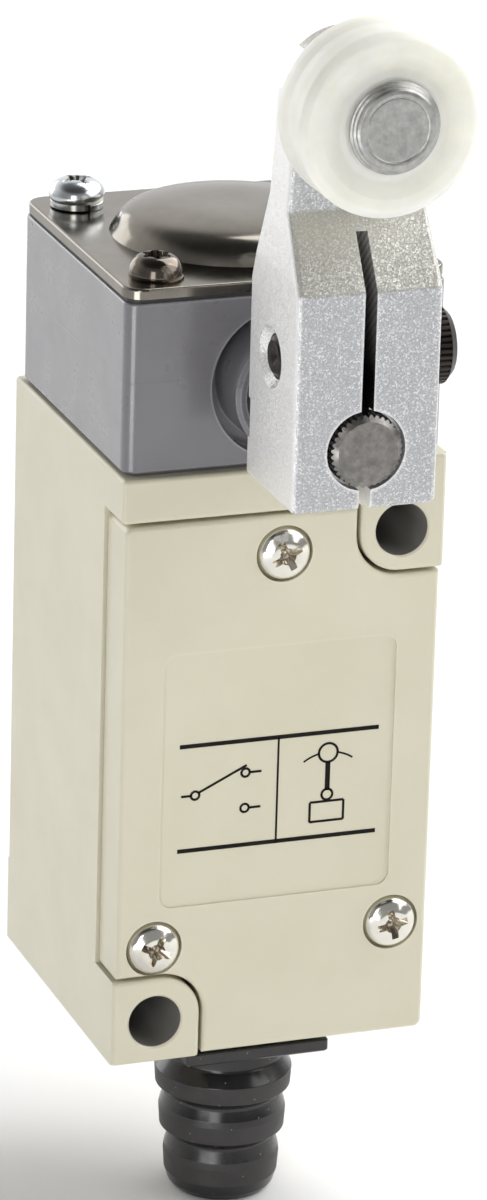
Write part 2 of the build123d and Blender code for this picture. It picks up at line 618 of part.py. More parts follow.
roller_edge = 0.9
roller_groove_outer, roller_groove_inner, roller_groove_depth = 5.6, 4.5, 0.35
with BuildPart() as roller:
    turned(front_plane(roller_back, 0, roller_z), [
        (pin_radius + running_gap, 0), (roller_radius - roller_edge, 0), (roller_radius, roller_edge),
        (roller_radius, roller_width - roller_edge), (roller_radius - 0.5, roller_width - 0.25),
        (roller_radius - 1.1, roller_width), (roller_groove_outer, roller_width),
        (roller_groove_outer - 0.4, roller_width - roller_groove_depth),
        (roller_groove_inner + 0.1, roller_width - roller_groove_depth), (roller_groove_inner, roller_width),
        (pin_radius + running_gap, roller_width),
    ])
roller.part.label = "roller"

# ---------------------------------------------------------------- return plunger, springs and switch plunger
follower_z = shaft_z + follower_reach
foot_radius, foot_height = 6.4, 0.7
cup_radius, cup_wall, cup_height = head_chamber_radius - small_gap, 1.1, 3.2
cup_floor = 1.7
with BuildPart() as return_plunger:
    turned(level_plane(follower_z, 0, mid_y), [
        (0, 0), (foot_radius, 0), (foot_radius, foot_height), (cup_radius - 0.5, foot_height),
        (cup_radius, foot_height + 0.5), (cup_radius, cup_height), (cup_radius - cup_wall, cup_height),
        (cup_radius - cup_wall, cup_floor), (0, cup_floor),
    ])
return_plunger.part.label = "return_plunger"


def coil(radius, wire_radius, low, high, turns, x=0.0, y=mid_y):
    """A coil spring that stands on its own turns between two heights."""
    pitch = (high - low - 2 * wire_radius) / turns
    path = Helix(pitch=pitch, height=high - low - 2 * wire_radius, radius=radius, center=(x, y, low + wire_radius))
    with BuildSketch(Plane(origin=path @ 0, z_dir=path % 0)) as section:
        Circle(wire_radius)
    sweep(section.sketch, path=path)


with BuildPart() as return_spring:
    coil(7.6, 0.45, follower_z + cup_floor + running_gap, plate_top + 1.5, 3)
return_spring.part.label = "return_spring"

plunger_top = shaft_z - cam_mid_lift - 0.08
plunger_low = 19.7
plunger_radius, plunger_head_radius, plunger_head_height = 2.0, 2.9, 1.1
with BuildPart() as plunger:
    turned(level_plane(0, 0, mid_y), [
        (0, plunger_low), (plunger_radius - 0.4, plunger_low), (plunger_radius, plunger_low + 0.4),
        (plunger_radius, plunger_top - plunger_head_height), (plunger_head_radius, plunger_top - plunger_head_height),
        (plunger_head_radius, plunger_top - 0.2), (plunger_head_radius - 0.2, plunger_top), (0, plunger_top),
    ])
plunger.part.label = "plunger"

guide_low = chamber_top - 3.0
guide_flange_radius, guide_flange_top = 5.2, head_base - running_gap
seal_pocket_radius, seal_pocket_floor = 3.4, top - 1.2
guide_bore = plunger_radius + running_gap
with BuildPart() as plunger_guide:
    turned(level_plane(0, 0, mid_y), [
        (guide_bore, guide_low), (guide_radius, guide_low), (guide_radius, top + fit_gap),
        (guide_flange_radius, top + fit_gap), (guide_flange_radius, guide_flange_top),
        (seal_pocket_radius, guide_flange_top), (seal_pocket_radius, seal_pocket_floor),
        (guide_bore, seal_pocket_floor),
    ])
plunger_guide.part.label = "plunger_guide"

with BuildPart() as plunger_seal:
    ring(level_plane(seal_pocket_floor + running_gap, 0, mid_y), seal_pocket_radius - running_gap, guide_bore, 1.3)
    # the groove above the sealing lip
    ring(level_plane(top - 0.3, 0, mid_y), 2.9, guide_bore, 1.0, Mode.SUBTRACT)
plunger_seal.part.label = "plunger_seal"

# ---------------------------------------------------------------- built-in switch
switch_half, switch_top, switch_low = 13.0, 17.5, 1.5
switch_front = mid_y - 5.1
lid_thickness = 1.4
terminal_low = -8.5
terminal_xs = (-8.0, 0.0, 8.0)
tab_front = mid_y - 0.6
tab_thickness, tab_half, riser_half = 0.8, 3.1, 1.5
terminal_screw_z = -4.2
base_wall, base_side_wall = 1.5, 3.4
base_back = switch_back - running_gap
barrier_xs = (-12.2, -4.0, 4.0, 12.2)  # the ribs between the terminals
barrier_half, barrier_reach = 0.6, 2.6
pin_guide_radius, switch_screw_hole_radius, terminal_screw_hole_radius = 1.5, 1.3, 1.5

with BuildPart() as switch_base:
    block((-switch_half, switch_front + lid_thickness, switch_low), (switch_half, base_back, switch_top))
    block((-switch_half + base_side_wall, switch_front, switch_low + base_wall),
          (switch_half - base_side_wall, switch_back - base_wall, switch_top - base_wall), Mode.SUBTRACT)
    tab_back = tab_front + tab_thickness + running_gap
    block((-switch_half, tab_back, terminal_low), (switch_half, base_back, switch_low))
    for x in barrier_xs:
        block((x - barrier_half, tab_front - barrier_reach, terminal_low), (x + barrier_half, base_back, switch_low))
    disc(level_plane(switch_top - 5, 0, mid_y), pin_guide_radius + running_gap, 10, Mode.SUBTRACT)
    for x, z in switch_screw_places:
        disc(front_plane(0, x, z), switch_screw_hole_radius, case_depth, Mode.SUBTRACT)
    for x in terminal_xs:
        block((x - riser_half - small_gap, tab_front - running_gap, switch_low - over),
              (x + riser_half + small_gap, tab_back, switch_low + 2 * base_wall), Mode.SUBTRACT)
        disc(front_plane(switch_back - over, x, terminal_screw_z), terminal_screw_hole_radius, case_depth,
             Mode.SUBTRACT)
switch_base.part.label = "switch_base"

with BuildPart() as switch_lid:
    lid_back = switch_front + lid_thickness - running_gap
    block((-switch_half, switch_front, switch_low), (switch_half, lid_back, switch_top))
    for x, z in switch_screw_places:
        disc(front_plane(0, x, z), switch_screw_hole_radius, case_depth, Mode.SUBTRACT)
    chamfer(switch_lid.faces().sort_by(Axis.Y)[0].outer_wire().edges(), 0.2)
switch_lid.part.label = "switch_lid"

with BuildPart() as switch_screws:
    for x, z in switch_screw_places:
        seat = front_plane(switch_front - 0.03, x, z)
        dome_screw(seat, 2.2, 1.3, 1.0, 14.5)
        cross_recess(seat.offset(1.35), 1.2, 0.9)
switch_screws.part.label = "switch_screws"


arm_half, arm_thickness = 1.5, 0.6
contact_x, contact_radius, contact_height = 7.4, 1.1, 0.8


def terminal(x, riser_top, arm_from, arm_to):
    """A screw terminal: its tab, the riser through the base and the arm inside the switch."""
    block((x - tab_half, tab_front, terminal_low + 0.8), (x + tab_half, tab_front + tab_thickness, switch_low - 0.1))
    block((x - riser_half, tab_front, switch_low - 0.5), (x + riser_half, tab_front + tab_thickness, riser_top))
    block((arm_from, mid_y - arm_half, riser_top - arm_thickness), (arm_to, mid_y + arm_half, riser_top))
    disc(front_plane(tab_front + 2 * over, x, terminal_screw_z), terminal_screw_hole_radius + small_gap, 5,
         Mode.SUBTRACT)


def contact(low):
    """A silver contact button above the given height."""
    disc(level_plane(low, contact_x, mid_y), contact_radius, contact_height)


blade_z, blade_thickness = 9.4, 0.3
open_arm_top, closed_riser_top, closed_arm_low, closed_arm_top = 5.2, 3.6, 11.8, 12.4
closed_post_left, closed_post_right = 9.0, 9.55
with BuildPart() as common_terminal:
    terminal(terminal_xs[0], blade_z, -9.4, -6.0)
common_terminal.part.label = "common_terminal"

with BuildPart() as open_terminal:
    terminal(terminal_xs[1], open_arm_top, -1.5, contact_x + 1.2)
    contact(open_arm_top - small_gap)
open_terminal.part.label = "open_terminal"

with BuildPart() as closed_terminal:
    terminal(terminal_xs[2], closed_riser_top, 6.6, closed_post_right - running_gap)
    block((closed_post_left, mid_y - arm_half, closed_riser_top - arm_thickness),
          (closed_post_right, mid_y + arm_half, closed_arm_top))
    block((contact_x - 1.2, mid_y - arm_half, closed_arm_low),
          (closed_post_right - running_gap, mid_y + arm_half, closed_arm_top))
    contact(closed_arm_low - contact_height + small_gap)
closed_terminal.part.label = "closed_terminal"

# the spring blade, its rivet block and its two-faced contact
blade_left, blade_right, blade_half = -8.9, 8.6, 1.6
with BuildPart() as contact_blade:
    block((blade_left, mid_y - blade_half, blade_z + fit_gap),
          (blade_right, mid_y + blade_half, blade_z + blade_thickness))
    block((blade_left - 0.1, mid_y - 0.5, blade_z + blade_thickness - fit_gap), (-6.4, mid_y + 0.5, blade_z + 0.9))
    disc(level_plane(blade_z - 0.6, contact_x, mid_y), contact_radius, 0.65)
    disc(level_plane(blade_z + 0.25, contact_x, mid_y), contact_radius, 1.4)
contact_blade.part.label = "contact_blade"

pin_top, pin_foot = plunger_low - running_gap, blade_z + 1.5
with BuildPart() as switch_pin:
    turned(level_plane(0, 0, mid_y), [
        (0, pin_foot), (pin_guide_radius - 0.5, pin_foot), (pin_guide_radius, pin_foot + 0.5),
        (pin_guide_radius, pin_top - 0.6), (pin_guide_radius - 0.6, pin_top), (0, pin_top),
    ])
switch_pin.part.label = "switch_pin"

with BuildPart() as terminal_screws:
    for x in terminal_xs:
        seat = front_plane(tab_front - fit_gap, x, terminal_screw_z)
        dome_screw(seat, 2.6, 1.8, 1.45, 4.2)
        cross_recess(seat.offset(1.85), 1.4, 1.0)
terminal_screws.part.label = "terminal_screws"

clamp_thickness = 0.8
with BuildPart() as ground_clamp:
    ring(front_plane(ground_boss_front - fit_gap, *ground_place), 3.6, 1.75, clamp_thickness)
ground_clamp.part.label = "ground_clamp"

with BuildPart() as ground_screw:
    seat = front_plane(ground_boss_front - clamp_thickness - 2 * fit_gap, *ground_place)
    dome_screw(seat, 2.9, 1.9, 1.5, 5.0)
    cross_recess(seat.offset(1.95), 1.5, 1.0)
ground_screw.part.label = "ground_screw"

# ---------------------------------------------------------------- files
os.makedirs("parts", exist_ok=True)
pieces = [
    case, cover, cover_gasket, cover_screws, cable_grommet, head_gasket, head_body, plate_gasket, head_plate,
    head_socket_screws, head_pan_screws, spring_washers, front_bearing, shaft_seal, rear_bearing, shaft, cam,
    cam_clip, shaft_ring, lever_arm, clamp_screw, roller_pin, roller, return_plunger, return_spring, plunger,
    plunger_guide, plunger_seal, switch_base, switch_lid, switch_screws, common_terminal, open_terminal,
    closed_terminal, contact_blade, switch_pin, terminal_screws, ground_clamp, ground_screw,
]
for piece in pieces:
    export_step(piece.part, f"parts/{piece.part.label}.step")
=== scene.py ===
"""The looks of the roller-lever limit switch: detailed pieces, finishes, studio light and camera.

Metres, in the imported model's frame: +Z up, the cover faces -Y, the back mounting face is at Y = 0.
"""

import json
from math import cos, pi, radians, sin

import bmesh
import bpy
from mathutils import Matrix, Vector


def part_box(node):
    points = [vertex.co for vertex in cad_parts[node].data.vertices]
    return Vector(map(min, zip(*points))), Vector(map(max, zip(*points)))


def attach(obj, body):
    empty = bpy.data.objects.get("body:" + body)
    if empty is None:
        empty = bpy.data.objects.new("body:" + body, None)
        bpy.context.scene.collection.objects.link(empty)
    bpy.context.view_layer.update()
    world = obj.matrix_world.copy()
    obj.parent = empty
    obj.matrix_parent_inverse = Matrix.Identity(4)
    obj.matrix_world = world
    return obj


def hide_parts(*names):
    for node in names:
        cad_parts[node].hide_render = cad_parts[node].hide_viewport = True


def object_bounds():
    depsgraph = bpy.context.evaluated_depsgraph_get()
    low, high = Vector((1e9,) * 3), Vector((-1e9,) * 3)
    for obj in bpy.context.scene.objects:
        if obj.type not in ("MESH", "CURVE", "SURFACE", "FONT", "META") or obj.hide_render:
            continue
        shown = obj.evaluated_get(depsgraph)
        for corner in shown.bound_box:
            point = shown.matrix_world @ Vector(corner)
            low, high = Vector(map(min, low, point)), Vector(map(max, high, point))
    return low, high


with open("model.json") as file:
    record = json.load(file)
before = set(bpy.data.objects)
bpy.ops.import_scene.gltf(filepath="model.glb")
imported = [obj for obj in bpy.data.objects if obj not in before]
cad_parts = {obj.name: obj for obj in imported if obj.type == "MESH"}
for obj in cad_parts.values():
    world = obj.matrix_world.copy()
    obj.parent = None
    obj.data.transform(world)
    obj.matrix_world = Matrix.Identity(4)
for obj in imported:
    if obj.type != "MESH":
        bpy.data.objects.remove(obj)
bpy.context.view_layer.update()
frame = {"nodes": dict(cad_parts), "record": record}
NODES = frame["nodes"]
MM = 0.001


# ---------------------------------------------------------------- shader building
class Finish:
    """One procedural material: a Principled shader and the nodes that feed it."""

    def __init__(self, name, **constants):
        self.material = bpy.data.materials.new(name)
        self.material.use_nodes = True
        self.tree = self.material.node_tree
        self.shader = self.tree.nodes["Principled BSDF"]
        for socket, value in constants.items():
            self.shader.inputs[socket.replace("_", " ")].default_value = value
        self.place = self.node("ShaderNodeTexCoord").outputs["Object"]
        self.normal = None

    def node(self, kind, **settings):
        made = self.tree.nodes.new(kind)
        for key, value in settings.items():
            setattr(made, key, value)
        return made

    def join(self, source, target):
        self.tree.links.new(source, target)

    def feed(self, target, value):
        """Give a socket a constant or another node's output."""
        if isinstance(value, bpy.types.NodeSocket):
            self.join(value, target)
        else:
            target.default_value = value

    def math(self, operation, a, b=0.0):
        made = self.node("ShaderNodeMath", operation=operation)
        self.feed(made.inputs[0], a)
        self.feed(made.inputs[1], b)
        return made.outputs[0]

    def vector_math(self, operation, a, b=(0.0, 0.0, 0.0)):
        made = self.node("ShaderNodeVectorMath", operation=operation)
        self.feed(made.inputs[0], a)
        self.feed(made.inputs[1], b)
        return made.outputs["Value" if operation in ("LENGTH", "DOT_PRODUCT") else "Vector"]

    def stretched(self, x, y, z):
        """The place, scaled by axis, so that a pattern runs along an axis."""
        return self.vector_math("MULTIPLY", self.place, (x, y, z))

    def along(self, value):
        """A vector that holds one value, for a pattern that changes along it alone."""
        made = self.node("ShaderNodeCombineXYZ")
        self.join(value, made.inputs[0])
        return made.outputs[0]

    def parts_of(self, vector):
        """The X, Y and Z of a vector."""
        made = self.node("ShaderNodeSeparateXYZ")
        self.join(vector, made.inputs[0])
        return made.outputs

    def facing(self):
        """The X, Y and Z of the way that the surface faces on its piece."""
        return self.parts_of(self.node("ShaderNodeTexCoord").outputs["Normal"])

    def noise(self, size_mm, detail=3.0, roughness=0.55, vector=None):
        """A noise value about size_mm across."""
        made = self.node("ShaderNodeTexNoise")
        self.feed(made.inputs["Vector"], self.place if vector is None else vector)
        made.inputs["Scale"].default_value = 1.0 / (size_mm * MM)
        made.inputs["Detail"].default_value = detail
        made.inputs["Roughness"].default_value = roughness
        return made.outputs[0]

    def cells(self, size_mm):
        """Cells about size_mm across: each one's random colour, and the distance from its middle."""
        made = self.node("ShaderNodeTexVoronoi")
        self.join(self.place, made.inputs["Vector"])
        made.inputs["Scale"].default_value = 1.0 / (size_mm * MM)
        return made.outputs["Color"], made.outputs["Distance"]

    def first_of(self, colour):
        """The red part of a colour, as a random number for each cell."""
        made = self.node("ShaderNodeSeparateColor")
        self.join(colour, made.inputs[0])
        return made.outputs[0]

    def spread(self, value, low, high, out_low=0.0, out_high=1.0):
        """Map low..high to out_low..out_high."""
        made = self.node("ShaderNodeMapRange")
        self.feed(made.inputs["Value"], value)
        limits = {"From Min": low, "From Max": high, "To Min": out_low, "To Max": out_high}
        for socket, number in limits.items():
            made.inputs[socket].default_value = number
        return made.outputs["Result"]

    def mix(self, factor, a, b):
        """A blend of two colours, each one a constant or another node's output."""
        made = self.node("ShaderNodeMix", data_type="RGBA")
        self.feed(made.inputs[0], factor)
        for socket, colour in ((made.inputs[6], a), (made.inputs[7], b)):
            self.feed(socket, colour if isinstance(colour, bpy.types.NodeSocket) else (*colour, 1.0))
        return made.outputs[2]

    def bump(self, height, depth_mm, strength):
        """Add a bump of depth_mm to the surface."""
        made = self.node("ShaderNodeBump")
        made.inputs["Strength"].default_value = strength
        made.inputs["Distance"].default_value = depth_mm * MM
        self.feed(made.inputs["Height"], height)
        if self.normal is not None:
            self.join(self.normal, made.inputs["Normal"])
        self.normal = made.outputs["Normal"]

    def flakes(self, size_mm, tilt):
        """Tilt the surface at random from cell to cell, as cut or blasted metal sparkles."""
        shift = self.vector_math("SUBTRACT", self.cells(size_mm)[0], (0.5, 0.5, 0.5))
        shift = self.vector_math("MULTIPLY", shift, (tilt, tilt, tilt))
        self.normal = self.vector_math("NORMALIZE", self.vector_math("ADD", self.normal, shift))

    def edges(self, radius_mm):
        """Near 1 close to an edge, and 0 on the flats."""
        rounded = self.node("ShaderNodeBevel", samples=6)
        rounded.inputs["Radius"].default_value = radius_mm * MM
        flat = self.node("ShaderNodeNewGeometry").outputs["Normal"]
        return self.spread(self.vector_math("DOT_PRODUCT", rounded.outputs[0], flat), 0.995, 0.85)

    def specks(self, size_mm, radius_share, share):
        """Small round spots, in a share of the cells."""
        colour, distance = self.cells(size_mm)
        near = self.math("LESS_THAN", distance, radius_share)
        return self.math("MULTIPLY", near, self.math("LESS_THAN", self.first_of(colour), share))

    def radius_from(self, centre, axis):
        """The distance from an axis through centre along X or Y."""
        keep = {"X": (0.0, 1.0, 1.0), "Y": (1.0, 0.0, 1.0)}[axis]
        offset = self.vector_math("SUBTRACT", self.place, tuple(centre))
        return self.vector_math("LENGTH", self.vector_math("MULTIPLY", offset, keep))

    def done(self, colour, roughness):
        """Join the colour, the roughness and the bumps to the shader, and give the material."""
        self.join(colour, self.shader.inputs["Base Color"])
        self.join(roughness, self.shader.inputs["Roughness"])
        self.join(self.normal, self.shader.inputs["Normal"])
        return self.material


# ---------------------------------------------------------------- finishes
def enamel(name, light, dark, roughness, coat, edge_tone, edge_share=0.3, shaded_bores=(), parting_z=None):
    """Stoved enamel on a die casting: mottling, orange peel, paler edges that are partly wear and partly a
    painted highlight, a few inclusions and painted shade inside the mounting holes.
    """
    made = Finish(name, Coat_Weight=coat, Coat_Roughness=0.16)
    cloud = made.spread(made.noise(9.0, 4.0), 0.35, 0.65)
    colour = made.mix(cloud, light, dark)
    # paler edges: partly wear, partly a painted highlight
    wear_and_highlight = made.math("MULTIPLY", made.edges(0.45), made.spread(made.noise(0.35, 3.0), 0.35, 0.65, 0.6, 1.0))
    colour = made.mix(made.math("MULTIPLY", wear_and_highlight, edge_share), colour, edge_tone)
    inclusions = made.math("MULTIPLY", made.specks(5.0, 0.02, 0.3), 0.25)
    colour = made.mix(inclusions, colour, tuple(0.4 * c for c in dark))
    # painted shade: darker grey inside the mounting holes
    for bore_centre, bore_radius in shaded_bores:
        inside = made.math("LESS_THAN", made.radius_from(bore_centre, "Y"), bore_radius * MM)
        colour = made.mix(inside, colour, (0.25, 0.24, 0.22))
    if parting_z is not None:
        off_line = made.math("SUBTRACT", made.parts_of(made.place)["Z"], parting_z)
        off_line = made.math("ABSOLUTE", off_line)
        made.bump(made.spread(off_line, 0.0, 0.12 * MM, 1.0, 0.0), 0.02, 0.8)
    made.bump(made.noise(0.6, 1.0), 0.005, 0.5)
    made.bump(made.noise(0.16, 2.0), 0.003, 0.6)
    rough = made.spread(made.noise(5.0, 4.0), 0.3, 0.7, roughness - 0.06, roughness + 0.08)
    return made.done(colour, rough)


def plated(name, light, dark, roughness, scratches=0.5, tint=None):
    """Plated steel: fine hairlines, smudges and a little tint."""
    made = Finish(name, Metallic=1.0)
    smudge = made.spread(made.noise(3.5, 5.0, 0.6), 0.3, 0.7)
    colour = made.mix(smudge, light, dark)
    if tint is not None:
        colour = made.mix(made.spread(made.noise(1.6, 2.0), 0.5, 0.8, 0.0, 0.5), colour, tint)
    hair = made.noise(0.06, 3.0, 0.6, made.stretched(0.05, 1.0, 1.0))
    made.bump(hair, 0.0015, scratches)
    rough = made.spread(made.noise(2.2, 4.0, 0.6), 0.3, 0.75, roughness * 0.85, roughness * 1.25)
    return made.done(colour, rough)


def turned_steel(name, light, dark, roughness, centre):
    """A faced steel end: lathe marks round its axis and a blotched grey bloom."""
    made = Finish(name, Metallic=1.0)
    marks = made.noise(0.09, 2.0, 0.6, made.along(made.radius_from(centre, "Y")))
    blotch = made.spread(made.noise(0.9, 5.0, 0.65), 0.32, 0.68)
    colour = made.mix(blotch, light, dark)
    made.bump(marks, 0.004, 0.7)
    made.bump(made.noise(0.35, 4.0), 0.006, 0.5)
    rough = made.spread(made.noise(0.5, 4.0), 0.3, 0.7, roughness - 0.08, roughness + 0.12)
    return made.done(colour, rough)


def blasted_metal(name, slot_middle, slot_width, slot_reach, clamp_middle, left_face):
    """Shot-blasted aluminium: small facets on a fine grey grain with painted glints, a painted highlight on
    the edges, painted light that makes the slope warmer and the sides paler, a sawn slot above slot_middle
    with painted shade towards the shaft, and a turned countersink round clamp_middle on the left face."""
    made = Finish(name, Metallic=0.55, Specular_IOR_Level=0.6)
    spot, facing = made.parts_of(made.place), made.facing()
    on_slope = made.math("GREATER_THAN", facing["Z"], 0.25)
    painted_light_side = made.math("GREATER_THAN", made.math("ABSOLUTE", facing["X"]), 0.7)

    # the grain: cool on the front; painted light makes the slope warmer and the sides paler
    grain = made.spread(made.noise(0.16, 2.0, 0.7), 0.32, 0.68)
    colour = made.mix(on_slope, made.mix(grain, (0.62, 0.625, 0.64), (0.37, 0.375, 0.385)),
                      made.mix(grain, (0.62, 0.605, 0.55), (0.46, 0.45, 0.41)))
    # painted glints: white specks in the colour, fewer on the slope
    glint = made.spread(made.first_of(made.cells(FACET_MM)[0]), 0.70, 0.94, 0.0, 0.65)
    glint = made.math("MULTIPLY", glint, made.spread(on_slope, 0.0, 1.0, 1.0, 0.45))
    colour = made.mix(glint, colour, (0.97, 0.97, 0.98))
    colour = made.mix(painted_light_side, colour, made.mix(grain, (1.0, 0.995, 0.985), (0.80, 0.795, 0.785)))
    # edges rubbed smoother, with a painted highlight along them that is weaker on the slope
    edge = made.math("MULTIPLY", made.edges(0.6), made.spread(on_slope, 0.0, 1.0, 0.85, 0.1))
    colour = made.mix(edge, colour, (0.98, 0.98, 0.99))

    mouth_radius, mouth_depth = 2.9, 0.75
    mouth = made.math("LESS_THAN", made.radius_from(clamp_middle, "X"), mouth_radius * MM)
    mouth = made.math("MULTIPLY", mouth, made.math("LESS_THAN", spot["X"], left_face + mouth_depth * MM))
    colour = made.mix(mouth, colour, (0.85, 0.85, 0.84))

    # the slot: slanting saw marks, with painted shade that darkens it towards the shaft
    past_wall, saw_mark, shade_below = 0.04, 0.15, 7.0
    off_middle = made.math("ABSOLUTE", made.math("SUBTRACT", spot["X"], slot_middle.x))
    height = made.math("SUBTRACT", spot["Z"], slot_middle.z)
    in_slot = made.math("LESS_THAN", off_middle, (slot_width / 2 + past_wall) * MM)
    in_slot = made.math("MULTIPLY", in_slot, made.math("GREATER_THAN", height, 0.0))
    in_slot = made.math("MULTIPLY", in_slot, made.math("LESS_THAN", height, slot_reach * MM))
    slant = made.math("DIVIDE", made.math("ADD", spot["Y"], spot["Z"]), saw_mark * MM)
    saw_marks = made.spread(made.math("SINE", slant), -1.0, 1.0, 0.55, 1.0)
    slot_shade = made.math("MULTIPLY", made.spread(height, shade_below * MM, slot_reach * MM), saw_marks)
    colour = made.mix(in_slot, colour, made.mix(slot_shade, (0.012, 0.011, 0.01), (0.8, 0.78, 0.75)))

    made.bump(made.noise(0.2, 2.0, 0.6), 0.02, 0.5)
    made.flakes(FACET_MM, 0.24)
    smoother = made.math("MULTIPLY", made.math("MAXIMUM", edge, mouth), 0.1)
    rough = made.math("SUBTRACT", made.spread(made.noise(0.3, 2.0), 0.3, 0.7, 0.34, 0.44), smoother)
    return made.done(colour, rough)


def nylon(name):
    """Natural nylon: milky, slightly see-through, with faint moulding and turning marks."""
    made = Finish(name, Subsurface_Weight=0.9, Subsurface_Radius=(1.0, 0.95, 0.75), Subsurface_Scale=0.0028,
                  IOR=1.53)
    colour = made.mix(made.spread(made.noise(4.0, 3.0), 0.35, 0.65), (0.88, 0.875, 0.82), (0.82, 0.815, 0.75))
    made.bump(made.noise(1.1, 3.0), 0.015, 0.4)
    made.bump(made.noise(0.15, 2.0), 0.003, 0.35)
    rough = made.spread(made.noise(1.0, 4.0), 0.3, 0.7, 0.33, 0.46)
    return made.done(colour, rough)


def rubber(name, dust):
    """Moulded rubber: glossy where it faces up or down and duller round the sides, with painted light that
    makes the faces up or down blacker and the sides greyer, and some dust specks."""
    made = Finish(name, Specular_IOR_Level=0.6)
    round_side = made.spread(made.math("ABSOLUTE", made.facing()["Z"]), 0.12, 0.3, 1.0, 0.0)
    cloud = made.spread(made.noise(1.5, 4.0), 0.3, 0.7)
    # painted light: blacker where it faces up or down, greyer round the sides
    colour = made.mix(round_side, made.mix(cloud, (0.006, 0.006, 0.007), (0.012, 0.011, 0.012)),
                      made.mix(cloud, (0.02, 0.018, 0.018), (0.033, 0.03, 0.03)))
    dusty = made.math("MULTIPLY", made.specks(0.7, 0.08, 0.8 * dust), 0.7)
    colour = made.mix(dusty, colour, (0.45, 0.43, 0.41))
    made.bump(made.noise(0.25, 3.0), 0.006, 0.5)
    rough = made.math("ADD", made.spread(round_side, 0.0, 1.0, 0.16, 0.5),
                      made.spread(cloud, 0.0, 1.0, 0.0, 0.08))
    return made.done(colour, rough)


def moulded(name, light, dark, roughness):
    """A moulded plastic with a fine spark-eroded texture."""
    made = Finish(name)
    colour = made.mix(made.spread(made.noise(3.0, 3.0), 0.35, 0.65), light, dark)
    made.bump(made.noise(0.12, 2.0), 0.006, 0.5)
    rough = made.spread(made.noise(0.8, 3.0), 0.3, 0.7, roughness - 0.05, roughness + 0.08)
    return made.done(colour, rough)


def middle(node):
    """The middle of a node's box."""
    low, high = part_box(node)
    return (low + high) / 2


MOUNTS = {mount["name"]: mount for mount in frame["record"]["mounts"]}
HOLE_PITCH = 23.4, 47.6  # between the two mounting holes: across, and up
holes_middle = Vector(MOUNTS["mounting_holes"]["pos_m"])
to_upper_hole = Vector((HOLE_PITCH[0] / 2, 0.0, HOLE_PITCH[1] / 2)) * MM
bore_radius = MOUNTS["mounting_holes"]["dims"]["hole_r_mm"] + 0.02
mounting_bores = [(holes_middle - to_upper_hole, bore_radius), (holes_middle + to_upper_hole, bore_radius)]

SLOT_WIDTH, SLOT_REACH = 1.1, 19.6  # the lever's clamp slot, and how far above the shaft it ends
FACET_MM = 0.13  # the facets of the lever's blasted surface
lever_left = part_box("lever_arm")[0].x
parting_z = middle("head_body").z + 0.5 * MM

FINISHES = {
    # each enamel's edge colour is partly wear and partly a painted highlight on the edges
    "case_paint": enamel("case_enamel", (0.70, 0.665, 0.515), (0.675, 0.64, 0.49), 0.36, 0.25,
                         (0.88, 0.85, 0.73), shaded_bores=mounting_bores),
    "head_paint": enamel("head_enamel", (0.178, 0.173, 0.186), (0.162, 0.157, 0.17), 0.3, 0.8,
                         (0.72, 0.72, 0.76), 0.35, parting_z=parting_z),
    "dark_nickel_plate": plated("dark_nickel", (0.25, 0.23, 0.198), (0.205, 0.189, 0.163), 0.16, 0.2),
    "dark_screw": plated("dark_nickel_screw", (0.19, 0.165, 0.14), (0.11, 0.094, 0.08), 0.14, 0.25),
    "zinc_screw": plated("bright_zinc", (0.72, 0.76, 0.80), (0.55, 0.57, 0.58), 0.2, 0.4, (0.70, 0.65, 0.52)),
    "nickel_screw": plated("bright_nickel", (0.82, 0.80, 0.735), (0.72, 0.69, 0.62), 0.15, 0.08),
    # recess finishes: painted shade, a darker colour down in the screws' recesses
    "recess_shade_nickel": plated("recess_shade_nickel", (0.62, 0.56, 0.47), (0.22, 0.18, 0.13), 0.16, 0.1),
    "recess_shade_dark": plated("recess_shade_dark", (0.15, 0.12, 0.09), (0.05, 0.04, 0.03), 0.42),
    "black_screw": plated("black_oxide", (0.06, 0.052, 0.047), (0.035, 0.03, 0.028), 0.36),
    "lever_casting": blasted_metal("blasted_aluminium", middle("shaft"), SLOT_WIDTH, SLOT_REACH,
                                   middle("clamp_screw"), lever_left),
    "shaft_steel": turned_steel("faced_steel", (0.30, 0.287, 0.27), (0.17, 0.162, 0.152), 0.32,
                                middle("shaft")),
    "pin_steel": turned_steel("riveted_steel", (0.52, 0.52, 0.50), (0.34, 0.34, 0.33), 0.36,
                              middle("roller_pin")),
    "hardened_steel": plated("hardened_steel", (0.46, 0.45, 0.44), (0.36, 0.35, 0.34), 0.3),
    "spring_steel": plated("spring_steel", (0.40, 0.39, 0.38), (0.30, 0.29, 0.28), 0.34),
    "roller_nylon": nylon("natural_nylon"),
    "grommet_rubber": rubber("glossy_rubber", 0.5),
    "seal_rubber": rubber("nitrile_rubber", 0.1),
    "head_gasket_sheet": moulded("gasket_sheet", (0.15, 0.145, 0.15), (0.12, 0.117, 0.12), 0.6),
    "bearing_bronze": plated("sintered_bronze", (0.62, 0.44, 0.26), (0.50, 0.34, 0.20), 0.42),
    "white_plastic": moulded("acetal", (0.82, 0.82, 0.79), (0.78, 0.78, 0.74), 0.4),
    "switch_moulding": moulded("phenolic", (0.05, 0.043, 0.04), (0.035, 0.03, 0.028), 0.45),
    "terminal_brass": plated("stamped_brass", (0.76, 0.62, 0.33), (0.64, 0.50, 0.25), 0.28),
    "blade_copper": plated("beryllium_copper", (0.74, 0.46, 0.30), (0.62, 0.36, 0.22), 0.28),
    "pin_plastic": moulded("red_phenolic", (0.45, 0.05, 0.04), (0.36, 0.04, 0.035), 0.4),
}
label_ink = moulded("label_ink", (0.008, 0.007, 0.006), (0.016, 0.014, 0.012), 0.6)
label_ink.node_tree.nodes["Principled BSDF"].inputs["Specular IOR Level"].default_value = 0.12
SLOTS = {row["node"]: row["material_slot"] for row in frame["record"]["subparts"]}
own_finish = {"head_gasket": "head_gasket_sheet"}
